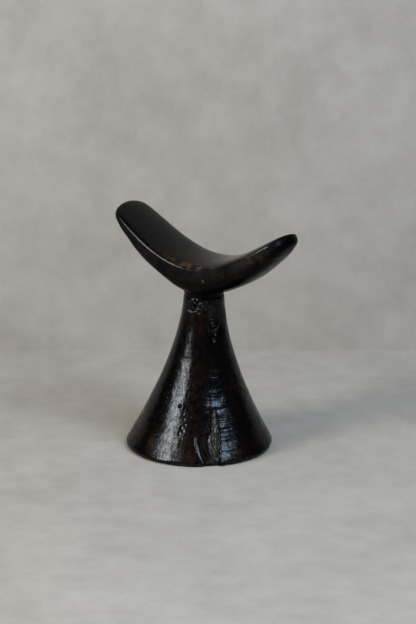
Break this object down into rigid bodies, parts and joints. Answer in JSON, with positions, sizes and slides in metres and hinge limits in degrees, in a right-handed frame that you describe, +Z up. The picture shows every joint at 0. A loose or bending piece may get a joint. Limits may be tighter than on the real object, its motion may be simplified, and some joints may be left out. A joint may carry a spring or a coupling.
{
  "type": "carved headrest",
  "caption": "Carved wooden headrest: a crescent pillow on a short round neck and a wide, hollowed conical foot.",
  "frame": {"origin": "on the floor, below the middle of the pillow, at the centre of the bounding box's bottom face", "axes": "+X along the pillow, +Y across it, +Z up"},
  "size_m": [0.1526, 0.1083, 0.1761],
  "materials": {
    "dark_wood": "gloss",
    "knot_wood": "satin",
    "raw_wood": "matte"
  },
  "bodies": {
    "root": {"pillow": "dark_wood", "conical_foot": "dark_wood", "tenon_peg": "raw_wood", "neck_knot": "knot_wood", "split_sliver": "raw_wood"}
  },
  "joints": []
}
